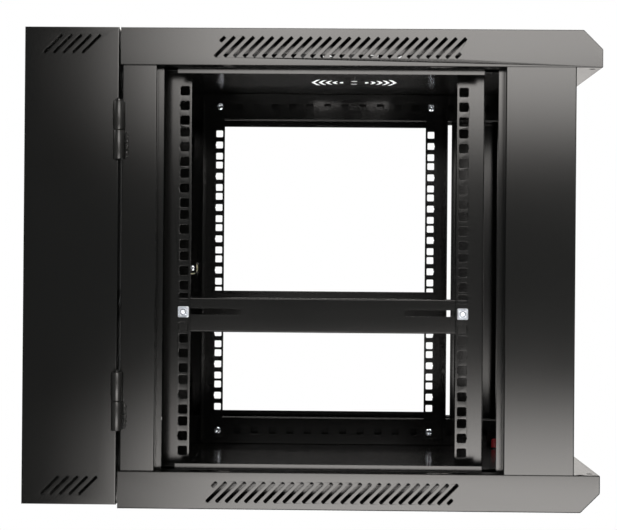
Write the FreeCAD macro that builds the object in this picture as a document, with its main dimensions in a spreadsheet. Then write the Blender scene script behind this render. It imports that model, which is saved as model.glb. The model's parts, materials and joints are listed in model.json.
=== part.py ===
# Two-section wall rack cabinet, nine units high, both side panels and the door taken off.
# Frame: X runs across the cabinet, Y runs from the door side to the wall, Z is up.
# The origin is on the wall face, midway across and midway between the four wall holes.
# F in the notes below is the distance from the wall, so a point at F has y = -F.
import FreeCAD
import Part
import Sketcher
import math
import os
import re

# Driving sizes in millimetres, by the piece that they belong to.
sizes = {
    # the outline of the cabinet
    "width": 600, "height": 500, "depth": 600,
    "sheet": 1.2,
    # how far a cutting shape runs past the face that it goes through
    "past": 1,
    # the rear section that stays on the wall
    "rearDepth": 98.5, "rearRaise": 4, "rearLip": 38,
    "wallHolesAcross": 500, "wallHolesUp": 400, "wallHole": 10,
    "rearPlateLip": 14, "rearSlotInset": 17.5, "rearSlotLift": 2, "rearSlotSpan": 20, "rearSlotWidth": 3,
    # the top and bottom covers of the swinging main section
    "sectionGap": 1.5, "skirt": 39, "nose": 20, "overhang": 27,
    "ventPitch": 10, "ventSpan": 21.6, "ventWidth": 3.6, "topVentDown": 19.7, "bottomVentUp": 18.1,
    "topVentStart": 208, "bottomVentStart": 203, "shortVent": 6,
    "ledgeWidth": 19, "lipStart": 157.5, "lipEnd": 479.6, "lipDrop": 6,
    "windowInset": 36, "windowLength": 42, "windowEdge": 3.5,
    "pivotHole": 6, "pivotInset": 12, "pivotSetback": 9,
    # the round air grilles over the two fan places in the top cover
    "fanMiddle": 350, "fanAcross": 250, "ringPitch": 9.3, "ringWidth": 6, "ringFirst": 17.8,
    "grilleWeb": 6, "hubSlotLength": 8, "hubSlotWidth": 9, "hubSlotOut": 8,
    # the cut lines of the cable knock-outs in both covers
    "knockFront": 144.5, "knockRear": 108, "knockHalf": 131, "knockTab": 37, "knockCut": 3,
    # the stiles of the front and rear frames
    "stileSetback": 2, "rearStile": 35.8, "frontStile": 73, "stileReturn": 38, "stileHem": 15,
    "seatLip": 5.6, "seam": 0.3, "memberFoot": 12,
    # the depth bars that carry the rails
    "barSheet": 1.5, "barTop": 17, "barLip": 20.3, "barFoot": 12, "barHole": 9.5, "barPitch": 25,
    "barHoleFirst": 189.7, "barHoleFrontIn": 83.3,
    # the four punched rails, to the 19 inch rack pattern
    "railInset": 55, "railSheet": 2, "railSide": 30, "railFace": 20, "railGap": 12, "railDrop": 2.5,
    "unitHeight": 44.45, "unitHoleStep": 15.875, "rackHole": 9.5, "rackColumnIn": 12.45,
    "rackEdge": 7.5, "notch": 1.4, "rearColumn": 161.7, "columnGap": 300,
    "railScrewIn": 20,
    # the two side supports between front and rear rails
    "supportTop": 31.5, "supportTall": 37, "supportSheet": 1.5, "supportFlange": 9,
    "supportStart": 152, "supportEnd": 471, "supportSlot": 7, "supportSlotLength": 67.5,
    "supportSlotEdge": 4, "supportSlotRise": 0.4,
    # screws and nuts
    "screwHead": 10, "screwHeadTall": 2.8, "screwSize": 6, "screwSlack": 0.2, "threadSlack": 0.05, "screwOut": 1,
    "nutAcross": 10, "nutTall": 4, "cageBody": 12, "cageTall": 4, "cageSlack": 0.1,
    # the drop-pin hinges on the left side
    "barrel": 11, "knuckle": 30, "pin": 6, "pinSlack": 0.05, "knuckleGap": 0.4,
    "upperSplitIn": 107.5, "lowerSplitIn": 111.5, "pinHead": 7.6, "pinHeadTall": 2.7, "beadFoot": 4.7,
    "beadTrim": 1, "beadReach": 1.65, "beadTuck": 2.2,
    # the cam lock on the right side
    "lockSetback": 18, "lockBarrel": 18.6, "lockLong": 24, "lockFlange": 23, "lockFlangeTall": 2.5,
    "lockSlack": 0.1, "lockNut": 24, "lockNutTall": 4, "plug": 12, "plugSlack": 0.05,
    "keyway": 1.6, "keywayDeep": 6, "camSheet": 2, "camReach": 35, "camHalf": 6, "camTop": 7,
    "catchReach": 28, "catchPin": 4, "catchRoom": 1.3, "camSlotTall": 36, "camSlotLow": 8,
    "camSlotWide": 8, "camScrew": 4, "camScrewHead": 9, "camScrewHeadTall": 2.4, "camScrewIn": 8,
    "catchFlange": 10, "catchFlangeTall": 1.5, "catchDrop": 1,
    # the earth stud with its red cap
    "studInset": 82, "studForward": 48, "stud": 6, "studTall": 11, "capWall": 1.4,
    "capTall": 13.5, "capSlack": 0.15, "capRoom": 0.5, "studFoot": 13, "studFootTall": 1.5,
}
# How often a feature repeats.
counts = {"units": 9, "vents": 25, "rearSlots": 5, "rings": 5, "barHoles": 11, "barHolesFront": 3,
          "shankSides": 8, "headSides": 12, "ringSides": 12, "barrelSides": 20}

doc = FreeCAD.newDocument("wall_rack_cabinet")
table = doc.addObject("Spreadsheet::Sheet", "Dims")
for row, (name, value) in enumerate(list(sizes.items()) + list(counts.items()), start=1):
    table.set("A%d" % row, name)
    table.set("B%d" % row, str(value))
    table.setAlias("B%d" % row, name)
doc.recompute()

# Planes and edges that several pieces share, worked out from the sizes.
shared = {
    "side": "width / 2",
    "top": "height / 2",
    "plateUnder": "(height / 2 - sheet)",
    "foot": "(height / 2 - skirt)",
    "coverRear": "(rearDepth + sectionGap)",
    "stileRear": "(rearDepth + sectionGap + stileSetback)",
    "openRear": "(rearDepth + sectionGap + stileSetback + rearStile)",
    "doorPlane": "(depth - overhang)",
    "openFront": "(depth - overhang - frontStile)",
    "seatPlane": "(width / 2 - ledgeWidth)",
    "railOuter": "(width / 2 - railInset)",
    "railInner": "(width / 2 - railInset - railSheet)",
    "frontColumn": "(rearColumn + columnGap)",
    "lockAxis": "(rearDepth + sectionGap + stileSetback + lockSetback)",
    "railScrewUp": "(height / 2 - railScrewIn)",
    "railHeight": "(height - 2 * railGap)",
    "supportLine": "(-unitHeight - railDrop)",
    "barHoleFront": "(depth - overhang - barHoleFrontIn)",
    "hingeX": "(width / 2 + barrel / 2)",
    "hingeF": "(rearDepth + sectionGap / 2)",
    "screwHole": "(screwSize + 2 * screwSlack)",
    "shankRadius": "((screwSize - screwSlack) / 2)",
    "lockX": "(width / 2 - sheet - lockLong + lockFlangeTall - camSheet / 2)",
    "bendShift": "(sheet * tan(22.5 deg))",
}
V = FreeCAD.Vector
made = []


def bound(text):
    # the words of an expression that are shared planes or sizes become references to the table
    text = str(text)
    for word in sorted(shared, key=len, reverse=True):
        text = re.sub(r"\b%s\b" % word, shared[word], text)
    for word in list(sizes) + list(counts):
        text = re.sub(r"\b(?<!\.)%s\b" % word, "Dims." + word, text)
    return text


def flip(sign, text):
    # the same distance on the positive or the negative side
    return str(text) if sign > 0 else "-(%s)" % text


def spanStart(sign, low, high):
    # the lower end of a stretch that may be mirrored
    return str(low) if sign > 0 else "-(%s)" % high


def keep(thing, label):
    # the finished sub-part under the name of its file
    thing.Label = label
    made.append(thing)
    return thing


def newBody(name):
    return doc.addObject("PartDesign::Body", name + "_body")


def drawLoops(body, plane, offset, loops, circles=()):
    # a sketch on an origin plane, each corner tied to the table by its two distances
    face = [f for f in body.Origin.OriginFeatures if f.Role == plane][0]
    sketch = body.newObject("Sketcher::SketchObject", body.Name + "_sketch")
    sketch.AttachmentSupport = [(face, "")]
    sketch.MapMode = "FlatFace"
    sketch.setExpression("AttachmentOffset.Base.z", bound(offset))
    sideways = -1 if plane == "YZ_Plane" else 1
    upward = -1 if plane == "XY_Plane" else 1
    for order, loop in enumerate(loops):
        count = len(loop)
        start = [V(10 * math.cos(2 * math.pi * i / count) + 30 * order,
                   10 * math.sin(2 * math.pi * i / count), 0) for i in range(count)]
        first = sketch.GeometryCount
        for i in range(count):
            sketch.addGeometry(Part.LineSegment(start[i], start[(i + 1) % count]), False)
        for i in range(count):
            sketch.addConstraint(Sketcher.Constraint("Coincident", first + i, 2, first + (i + 1) % count, 1))
        for i, (across, up) in enumerate(loop):
            for kind, sign, text, now in (("DistanceX", sideways, across, start[i].x),
                                          ("DistanceY", upward, up, start[i].y)):
                at = sketch.addConstraint(Sketcher.Constraint(kind, -1, 1, first + i, 1, now))
                sketch.setExpression("Constraints[%d]" % at, bound(flip(sign, text)))
    for across, up, radius in circles:
        ring = sketch.addGeometry(Part.Circle(V(5, 5, 0), V(0, 0, 1), 2), False)
        for kind, sign, text in (("DistanceX", sideways, across), ("DistanceY", upward, up)):
            at = sketch.addConstraint(Sketcher.Constraint(kind, -1, 1, ring, 3, 5))
            sketch.setExpression("Constraints[%d]" % at, bound(flip(sign, text)))
        at = sketch.addConstraint(Sketcher.Constraint("Radius", ring, 2))
        sketch.setExpression("Constraints[%d]" % at, bound(radius))
    return sketch


def pad(body, plane, start, length, loops, circles=()):
    # a profile carried from start along the plane's normal
    sketch = drawLoops(body, plane, start, loops, circles)
    feature = body.newObject("PartDesign::Pad", body.Name + "_pad")
    feature.Profile = sketch
    feature.setExpression("Length", bound(length))
    sketch.Visibility = False
    body.Tip = feature
    return feature


def cut(body, plane, start, length, loops, circles=()):
    # the same profile taken out of the body, from start along the plane's normal
    sketch = drawLoops(body, plane, start, loops, circles)
    feature = body.newObject("PartDesign::Pocket", body.Name + "_pocket")
    feature.Profile = sketch
    feature.Reversed = True
    feature.setExpression("Length", bound(length))
    body.Tip = feature
    return feature, sketch


def repeat(body, feature, sketch, axis, step, count, backwards=False):
    # a row of equal features, one step apart
    row = body.newObject("PartDesign::LinearPattern", body.Name + "_row")
    row.Originals = [feature]
    row.Direction = (sketch, [axis])
    row.Reversed = backwards
    row.setExpression("Length", bound("(%s) * (%s - 1)" % (step, count)))
    row.setExpression("Occurrences", bound(count))
    body.Tip = row
    return row


def box(name, low, high):
    # a block between two corners, each given as three expressions
    block = doc.addObject("Part::Box", name)
    for prop, a, b in zip(("Length", "Width", "Height"), low, high):
        block.setExpression(prop, bound("(%s) - (%s)" % (b, a)))
    for axis, a in zip("xyz", low):
        block.setExpression("Placement.Base." + axis, bound(a))
    return block


def rod(name, axis, at, radius, length, sides=None):
    # a round bar from a point along X or Z, or an even-sided one whose corners lie on the radius
    bar = doc.addObject("Part::Prism" if sides else "Part::Cylinder", name)
    bar.setExpression("Circumradius" if sides else "Radius", bound(radius))
    bar.setExpression("Height", bound(length))
    if sides:
        bar.setExpression("Polygon", bound(sides))
    if axis == "X":
        bar.Placement.Rotation = FreeCAD.Rotation(V(0, 1, 0), 90)
    for word, text in zip("xyz", at):
        bar.setExpression("Placement.Base." + word, bound(text))
    return bar


def fuse(name, pieces):
    joined = doc.addObject("Part::MultiFuse", name)
    joined.Shapes = pieces
    joined.Refine = True
    return joined


def without(name, base, tool):
    rest = doc.addObject("Part::Cut", name)
    rest.Base = base
    rest.Tool = tool
    rest.Refine = True
    return rest


def group(name, pieces):
    # like pieces kept together as separate solids
    bunch = doc.addObject("Part::Compound", name)
    bunch.Links = pieces
    return bunch


def mirrored(name, thing, normal):
    # the same piece on the other side of the middle plane
    other = doc.addObject("Part::Mirroring", name)
    other.Source = thing
    other.Normal = normal
    return other


def rectangle(x0, x1, y0, y1):
    return [(x0, y0), (x1, y0), (x1, y1), (x0, y1)]


def square(across, up, side):
    # a square about its middle
    half = "(%s) / 2" % side
    return rectangle("%s - %s" % (across, half), "%s + %s" % (across, half),
                     "%s - %s" % (up, half), "%s + %s" % (up, half))


def slantedSlot(across, up, span, width):
    # a slot leaning at 45 degrees: its corners lie halfSlot along and halfSide across it, both ways
    halfSlot = "((%s - %s) / 2 + %s * cos(45 deg) / 2)" % (span, width, width)
    halfSide = "(%s * cos(45 deg) / 2)" % width
    corners = []
    for end, turn in ((1, 1), (1, -1), (-1, -1), (-1, 1)):
        corners.append(("%s + %d * %s + %d * %s" % (across, end, halfSlot, turn, halfSide),
                        "%s + %d * %s - %d * %s" % (up, end, halfSlot, turn, halfSide)))
    return corners


def makeRearSection():
    # a folded tray: wall plate, two sides and their inward lips in one sheet
    low, high = "-(top - rearRaise)", "top"
    body = newBody("rear_shell")
    half = [("side", "0"), ("side", "rearDepth"), ("side - rearLip", "rearDepth"),
            ("side - rearLip", "rearDepth - sheet"), ("side - sheet", "rearDepth - sheet"),
            ("side - sheet", "sheet")]
    loop = half + [(flip(-1, x), f) for x, f in reversed(half)]
    pad(body, "XY_Plane", low, "(%s) - (%s)" % (high, low), [loop])
    first = "(rearDepth / 2 - rearSlots / 2 * ventPitch + ventPitch / 2)"
    for up in ("(top - rearSlotInset)", "(-(top - rearRaise) + rearSlotInset + rearSlotLift)"):
        slot = slantedSlot(first, up, "rearSlotSpan", "rearSlotWidth")
        feature, sketch = cut(body, "YZ_Plane", "-side - past", "width + 2 * past", [slot])
        repeat(body, feature, sketch, "H_Axis", "ventPitch", "rearSlots", backwards=True)
    holes = [(flip(a, "wallHolesAcross / 2"), flip(b, "wallHolesUp / 2"), "wallHole / 2")
             for a in (-1, 1) for b in (-1, 1)]
    cut(body, "XZ_Plane", "-past", "sheet + 2 * past", [], holes)
    cut(body, "XZ_Plane", "rearDepth - sheet - past", "sheet + 2 * past", [camSlot()])
    keep(body, "rear_shell")
    makeRearPlate("rear_top_plate", "(top - sheet)", "(top - sheet) - rearPlateLip")
    makeRearPlate("rear_bottom_plate", "-(top - rearRaise)", "-(top - rearRaise)")


def makeRearPlate(label, z, lipLow):
    # an end of the tray, with a lip between the side lips
    plate = newBody(label)
    edge, inner = "(side - sheet)", "(side - rearLip)"
    pad(plate, "XY_Plane", z, "sheet", [rectangle("-" + edge, edge, "sheet", "rearDepth - sheet")])
    pad(plate, "XY_Plane", lipLow, "rearPlateLip + sheet",
        [rectangle("-" + inner, inner, "rearDepth - sheet", "rearDepth")])
    keep(plate, label)


def camSlot():
    # the upright opening that the hooked cam swings through, in the wall tray and in the stile
    return rectangle("lockX - camSlotWide / 2", "lockX + camSlotWide / 2", "-camSlotLow", "camSlotTall")


def grilleTool():
    # concentric rings less four webs on the diagonals, and two short slots at the hub
    middle = ("fanAcross / 2", "-fanMiddle", "top - sheet - past")
    tall = "sheet + 2 * past"
    rings = []
    for i in range(counts["rings"]):
        centre = "(ringFirst + %d * ringPitch)" % i
        outer = rod("ring_out_%d" % i, "Z", middle, centre + " + ringWidth / 2", tall, "ringSides")
        inner = rod("ring_in_%d" % i, "Z", middle, centre + " - ringWidth / 2", tall, "ringSides")
        rings.append(without("ring_%d" % i, outer, inner))
    reach = "(ringFirst + ringPitch * rings)"
    webs = []
    for turn in (45, -45):
        web = box("web_%d" % (turn + 45), ("-" + reach, "-grilleWeb / 2", "0"), (reach, "grilleWeb / 2", tall))
        holder = group("web_turned_%d" % (turn + 45), [web])
        holder.Placement.Rotation = FreeCAD.Rotation(V(0, 0, 1), turn)
        for word, text in zip("xyz", middle):
            holder.setExpression("Placement.Base." + word, bound(text))
        webs.append(holder)
    arcs = without("grille_arcs", fuse("grille_rings", rings), fuse("grille_webs", webs))
    hubs = []
    for end, low, high in (("rear", "-(hubSlotOut + hubSlotWidth)", "-hubSlotOut"),
                           ("front", "hubSlotOut", "(hubSlotOut + hubSlotWidth)")):
        hubs.append(box("hub_slot_" + end,
                        ("fanAcross / 2 + " + low, "-fanMiddle - hubSlotLength / 2", middle[2]),
                        ("fanAcross / 2 + " + high, "-fanMiddle + hubSlotLength / 2", middle[2] + " + " + tall)))
    right = fuse("grille_right", [arcs] + hubs)
    return fuse("grilles", [right, mirrored("grille_left", right, V(1, 0, 0))])


def ledgeLoops():
    # the flat side-panel seats between the stiles, each with two long windows, and their inner lips
    ledges, lips = [], []
    for hand in (-1, 1):
        ledges.append(rectangle(flip(hand, "side"), flip(hand, "seatPlane"), "openRear", "openFront"))
        for start in ("openRear + windowInset", "openFront - windowInset - windowLength"):
            ledges.append(rectangle(flip(hand, "side - windowEdge"), flip(hand, "seatPlane + windowEdge"),
                                    start, start + " + windowLength"))
        lips.append(rectangle(flip(hand, "seatPlane"), flip(hand, "seatPlane + sheet"), "lipStart", "lipEnd"))
    return ledges, lips


def knockOuts():
    # the cut lines of the two cable knock-outs behind the grilles
    cuts = []
    edge = "(knockHalf + knockTab / 4)"
    for hand in (-1, 1):
        for f in ("knockFront", "knockRear"):
            cuts.append(rectangle(flip(hand, "knockTab"), flip(hand, "knockHalf"), f, f + " + knockCut"))
        cuts.append(rectangle(flip(hand, edge), flip(hand, edge + " + knockCut"),
                              "knockRear + knockCut * 2", "knockFront - knockCut"))
    return cuts


def makeCover(label, sign, ventStart, ventIn):
    # a folded cover: plate, sloped nose, skirts, side-panel seats and lips, vents, knock-outs
    body = newBody(label)
    outline = [("coverRear", "top"), ("depth - nose", "top"), ("depth", "top - nose"),
               ("depth", "foot"), ("coverRear", "foot")]
    hollow = [("coverRear - past", "plateUnder"), ("depth - nose - bendShift", "plateUnder"),
              ("depth - sheet", "top - nose - bendShift"), ("depth - sheet", "foot + sheet"),
              ("doorPlane + seam", "foot + sheet"), ("doorPlane + seam", "foot - past"),
              ("coverRear - past", "foot - past")]
    pad(body, "YZ_Plane", "-side", "width", [[(f, flip(sign, z)) for f, z in outline]])
    cut(body, "YZ_Plane", "-(side - sheet)", "width - 2 * sheet", [[(f, flip(sign, z)) for f, z in hollow]])
    ledges, lips = ledgeLoops()
    pad(body, "XY_Plane", spanStart(sign, "foot", "foot + sheet"), "sheet", ledges)
    pad(body, "XY_Plane", spanStart(sign, "foot - lipDrop", "foot + sheet"), "lipDrop + sheet", lips)
    middle = flip(sign, "(top - %s)" % ventIn)
    slot = slantedSlot(ventStart, middle, "ventSpan", "ventWidth")
    feature, sketch = cut(body, "YZ_Plane", "-side - past", "width + 2 * past", [slot])
    repeat(body, feature, sketch, "H_Axis", "ventPitch", "vents", backwards=True)
    shift = "((ventSpan - shortVent) / 2)"
    rear = slantedSlot("%s - ventPitch + %s" % (ventStart, shift), "%s + %s" % (middle, shift),
                       "shortVent", "ventWidth")
    front = slantedSlot("%s + ventPitch * vents - %s" % (ventStart, shift), "%s - %s" % (middle, shift),
                        "shortVent", "ventWidth")
    cut(body, "YZ_Plane", "-side - past", "width + 2 * past", [rear, front])
    cut(body, "XY_Plane", spanStart(sign, "plateUnder - past", "top + past"), "sheet + 2 * past", knockOuts())
    pivots = [(flip(hand, "side - pivotInset"), "depth - pivotSetback", "pivotHole / 2") for hand in (-1, 1)]
    cut(body, "XY_Plane", spanStart(sign, "foot - past", "foot + sheet + past"), "sheet + 2 * past", [], pivots)
    return body


def makeStile(name, front):
    # a folded post: side face, return towards the other post, recess and seat for the side panel
    face, edge, turn = ("doorPlane", "openFront", -1) if front else ("stileRear", "openRear", 1)

    def inset(f, amount):
        # further in from the face of the frame
        return "%s + %d * (%s)" % (f, turn, amount)

    points = [("side", face), ("side - stileReturn", face), ("side - stileReturn", inset(face, "stileHem")),
              ("side - stileReturn + sheet", inset(face, "stileHem")),
              ("side - stileReturn + sheet", inset(face, "sheet")), ("side - sheet", inset(face, "sheet")),
              ("side - sheet", inset(edge, "-sheet")), ("seatPlane", inset(edge, "-sheet")),
              ("seatPlane", inset(edge, "seatLip")), ("seatPlane + sheet", inset(edge, "seatLip")),
              ("seatPlane + sheet", edge), ("side", edge)]
    body = newBody(name)
    pad(body, "XY_Plane", "-(foot - seam)", "2 * (foot - seam)", [points])
    return body


def makeStiles():
    # the right rear stile alone has the holes for the lock
    front = makeStile("front_stile", True)
    keep(front, "right_front_stile")
    keep(mirrored("front_stile_left", front, V(1, 0, 0)), "left_front_stile")
    rear = makeStile("rear_stile", False)
    keep(mirrored("rear_stile_left", rear, V(1, 0, 0)), "left_rear_stile")
    hole = rod("stile_lock_hole", "X", ("side - sheet - past", "-lockAxis", "0"), "lockBarrel / 2 + lockSlack",
               "sheet + 2 * past")
    slot = box("stile_cam_slot", ("lockX - camSlotWide / 2", "-(stileRear + sheet + past)", "-camSlotLow"),
               ("lockX + camSlotWide / 2", "-(stileRear - past)", "camSlotTall"))
    keep(without("rear_stile_right", rear, fuse("stile_holes", [hole, slot])), "right_rear_stile")


def makeMembers(word, face, inner):
    # the cross members of a frame: a tall face behind the skirt and a foot between the depth bars
    body = newBody(word + "_member")
    wide = "(side - sheet - seam)"
    pad(body, "XY_Plane", "foot", "plateUnder - foot", [rectangle("-" + wide, wide, face, face + " + sheet")])
    pad(body, "XY_Plane", "foot", "sheet", [rectangle("-railInner", "railInner", inner, inner + " + memberFoot")])
    keep(body, word + "_top_member")
    keep(mirrored(word + "_member_below", body, V(0, 0, 1)), word + "_bottom_member")


def makeBars():
    # channels from frame to frame under the covers: a punched inner leg, a top and a short outer lip
    body = newBody("bar")
    inner, outer, under = "railOuter + barSheet", "plateUnder - barSheet", "foot + barSheet"
    edge, tip = "railOuter + barTop", "plateUnder - barLip"
    points = [("railOuter", "foot"), ("railOuter", "plateUnder"), (edge, "plateUnder"), (edge, tip),
              (edge + " - barSheet", tip), (edge + " - barSheet", outer), (inner, outer), (inner, under),
              ("railOuter + barFoot", under), ("railOuter + barFoot", "foot")]
    pad(body, "XZ_Plane", "stileRear + sheet", "doorPlane - stileRear - 2 * sheet", [points])
    through = ("YZ_Plane", "railOuter - past", "barSheet + 2 * past")
    for first, number in (("barHoleFirst", "barHoles"), ("barHoleFront", "barHolesFront")):
        feature, sketch = cut(body, *through, [square(first, "railScrewUp", "barHole")])
        repeat(body, feature, sketch, "H_Axis", "barPitch", number, backwards=True)
    cut(body, *through, [square(f, "railScrewUp", "screwHole") for f in ("rearColumn", "frontColumn")])
    right = keep(body, "right_top_bar")
    left = keep(mirrored("bar_left_top", right, V(1, 0, 0)), "left_top_bar")
    keep(mirrored("bar_right_bottom", right, V(0, 0, 1)), "right_bottom_bar")
    keep(mirrored("bar_left_bottom", left, V(0, 0, 1)), "left_bottom_bar")


def unitHoles(middle, notched):
    # the three holes of the lowest unit; in the side leg the middle one has a notch towards the angle's corner
    lowest = "(-unitHeight * (units - 1) / 2 - railDrop)"
    holes = [square(middle, "(%s + %d * unitHoleStep)" % (lowest, step), "rackHole") for step in (-1, 0, 1)]
    if notched:
        edge = "%s + %d * rackHole / 2" % (middle, notched)
        notch = [(edge, lowest + " - notch"), ("%s + %d * notch" % (edge, notched), lowest),
                 (edge, lowest + " + notch")]
        place = 2 if notched > 0 else 4
        holes[1][place:place] = notch if notched > 0 else notch[::-1]
    return holes


def makeRails(word, column, turn):
    # an angle with three square holes a unit in both legs
    def along(amount):
        # further from the hole column towards the corner of the angle
        return "%s + %d * (%s)" % (column, turn, amount)

    corner, edge, face = along("railSide - rackEdge"), along("-rackEdge"), along("railSide - rackEdge - railSheet")
    body = newBody(word + "_rail")
    points = [("railOuter", edge), ("railOuter", corner), ("railOuter - railFace", corner),
              ("railOuter - railFace", face), ("railInner", face), ("railInner", edge)]
    pad(body, "XY_Plane", "-railHeight / 2 - railDrop", "railHeight", [points])
    side = ("YZ_Plane", "railInner - past", "railSheet + 2 * past")
    front = ("XZ_Plane", (face if turn > 0 else corner) + " - past", "railSheet + 2 * past")
    feature, sketch = cut(body, *side, unitHoles(column, turn))
    repeat(body, feature, sketch, "V_Axis", "unitHeight", "units")
    feature, sketch = cut(body, *front, unitHoles("(railOuter - rackColumnIn)", 0))
    repeat(body, feature, sketch, "V_Axis", "unitHeight", "units")
    cut(body, *side, [square(column, flip(end, "railScrewUp"), "screwHole") for end in (-1, 1)])
    keep(body, "right_%s_rail" % word)
    keep(mirrored(word + "_rail_left", body, V(1, 0, 0)), "left_%s_rail" % word)


def makeSupports():
    # channels between the rails, slotted at both ends for their screws
    body = newBody("support")
    low, high, inner, tip = "-(supportTop + supportTall)", "-supportTop", "railInner - supportSheet", \
        "railInner - supportFlange"
    points = [("railInner", low), ("railInner", high), (tip, high), (tip, high + " - supportSheet"),
              (inner, high + " - supportSheet"), (inner, low + " + supportSheet"),
              (tip, low + " + supportSheet"), (tip, low)]
    pad(body, "XZ_Plane", "supportStart", "supportEnd - supportStart", [points])
    slots, middle = [], "supportLine + supportSlotRise"
    for start in ("supportStart + supportSlotEdge", "supportEnd - supportSlotEdge - supportSlotLength"):
        slots.append(rectangle(start, start + " + supportSlotLength", middle + " - supportSlot / 2",
                               middle + " + supportSlot / 2"))
    cut(body, "YZ_Plane", inner + " - past", "supportSheet + 2 * past", slots)
    keep(body, "right_support")
    keep(mirrored("support_left", body, V(1, 0, 0)), "left_support")


def sideRod(name, f, z, near, far, radius, sides=None):
    # a round or many-sided bar along X between two distances from the middle
    return rod(name, "X", (near, "-(%s)" % f, z), radius, "(%s) - (%s)" % (far, near), sides)


def sideBlock(name, f, z, near, far, side):
    # a square block along X between two distances from the middle
    half = "(%s) / 2" % side
    return box(name, (near, "-(%s) - %s" % (f, half), "%s - %s" % (z, half)),
               (far, "-(%s) + %s" % (f, half), "%s + %s" % (z, half)))


def makeScrew(name, f, z, seat, tip):
    # the head lies on the inner side of its seat
    head = sideRod(name + "_head", f, z, seat + " - screwHeadTall", seat, "screwHead / 2", "headSides")
    shank = sideRod(name + "_shank", f, z, seat, tip, "shankRadius", "shankSides")
    return fuse(name, [head, shank])


def keepPair(label, pieces):
    # the right-hand pieces and their mirror images under one name
    right = group(label + "_right", pieces)
    keep(group(label + "_both", [right, mirrored(label + "_left", right, V(1, 0, 0))]), label)


def makeFasteners():
    # the screws point outwards from inside the cabinet
    railScrews, railNuts, supportScrews, cageNuts = [], [], [], []
    back = "railOuter + barSheet"
    for column in ("rearColumn", "frontColumn"):
        for end in (-1, 1):
            tag, z = "%s_%d" % (column, end + 1), flip(end, "railScrewUp")
            railScrews.append(makeScrew("rail_screw_" + tag, column, z, "railInner", back + " + nutTall + screwOut"))
            hexagon = sideRod("hex_" + tag, column, z, back, back + " + nutTall", "nutAcross / 2 / cos(30 deg)", "6")
            bore = sideRod("nut_bore_" + tag, column, z, back + " - past", back + " + nutTall + past",
                           "shankRadius + threadSlack", "shankSides")
            railNuts.append(without("rail_nut_" + tag, hexagon, bore))
        z, rear = "supportLine", "railOuter + cageTall"
        supportScrews.append(makeScrew("support_screw_" + column, column, z, "railInner - supportSheet",
                                       rear + " + screwOut"))
        cage = sideBlock("cage_" + column, column, z, "railOuter", rear, "cageBody")
        collar = sideBlock("collar_" + column, column, z, "railInner + cageSlack", "railOuter",
                           "rackHole - 2 * cageSlack")
        bore = sideRod("cage_bore_" + column, column, z, "railInner - past", rear + " + past",
                       "shankRadius + threadSlack", "shankSides")
        cageNuts.append(without("cage_nut_" + column, fuse("cage_solid_" + column, [cage, collar]), bore))
    keepPair("rail_screws", railScrews)
    keepPair("rail_nuts", railNuts)
    keepPair("support_screws", supportScrews)
    keepPair("cage_nuts", cageNuts)


def hingePlace(z):
    # a point on the hinge axis, which runs in the gap between the two sections
    return ("-hingeX", "-hingeF", z)


def makeKnuckle(label, low, bead, bore):
    # a barrel with the weld bead that holds it to its section's side
    barrel = rod(label + "_barrel", "Z", hingePlace(low), "barrel / 2", "knuckle", "barrelSides")
    weld = newBody(label + "_bead")
    pad(weld, "XY_Plane", low + " + beadTrim", "knuckle - 2 * beadTrim", [bead])
    keep(without(label + "_bored", fuse(label + "_solid", [barrel, weld]), bore), label)


def makeHinge(name, split):
    # two knuckles on the left face and a headed pin dropped through both
    bore = rod(name + "_bore", "Z", hingePlace(split + " - knuckle - past"), "pin / 2 + pinSlack",
               "2 * knuckle + knuckleGap + 2 * past")
    foot = "(barrel + beadFoot) / 2"
    rearBead = [("-side", "hingeF - " + foot), ("-side", "rearDepth - sectionGap / 2"),
                ("-(side + beadReach * 2)", "hingeF - 2 * beadTuck")]
    mainBead = [("-side", "hingeF + " + foot), ("-side", "stileRear"),
                ("-(side + beadReach * 2)", "hingeF + 2 * beadTuck")]
    makeKnuckle(name + "_rear_knuckle", split + " + knuckleGap", rearBead, bore)
    makeKnuckle(name + "_main_knuckle", split + " - knuckle", mainBead, bore)
    shaft = rod(name + "_shaft", "Z", hingePlace(split + " - knuckle"), "pin / 2", "2 * knuckle + knuckleGap")
    head = rod(name + "_head", "Z", hingePlace(split + " + knuckleGap + knuckle"), "pinHead / 2", "pinHeadTall",
               "headSides")
    keep(fuse(name + "_pin_solid", [shaft, head]), name + "_pin")


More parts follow.
